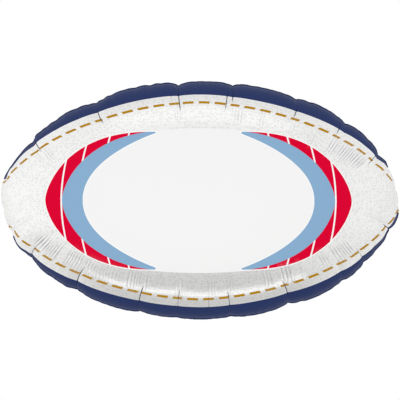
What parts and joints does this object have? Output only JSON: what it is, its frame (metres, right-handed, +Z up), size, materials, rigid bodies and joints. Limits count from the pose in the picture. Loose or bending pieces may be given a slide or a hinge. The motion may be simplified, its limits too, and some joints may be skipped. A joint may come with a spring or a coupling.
{
  "type": "rugby ball foil balloon",
  "caption": "Inflated foil balloon in the shape of a rugby ball, two printed film panels welded round a pleated rim, with a flat filling tail folded back underneath.",
  "frame": {"origin": "centre of the inflated ball, on the plane of its weld", "axes": "+X along the ball from tip to tip, -Y towards the viewer of the front panel, +Z up, tail at the lowest point of the rim"},
  "size_m": [0.7032, 0.27, 0.4215],
  "materials": {
    "printed_film": "satin printed film, white with a red and blue ball pattern and a navy edge",
    "navy_film": "satin printed film, navy",
    "valve_film": "clear soft film, slightly milky"
  },
  "bodies": {
    "envelope": {"front_panel": "printed_film", "back_panel": "printed_film", "welded_rim": "navy_film"},
    "tail": {"tail_front_ply": "navy_film", "tail_back_ply": "navy_film", "valve_film": "valve_film"}
  },
  "joints": [
    {"name": "tail_fold", "type": "hinge", "parent": "envelope", "child": "tail", "pos_m": [0, 0, -0.2108], "axis": [1, 0, 0], "range_deg": [-180, 0]}
  ]
}
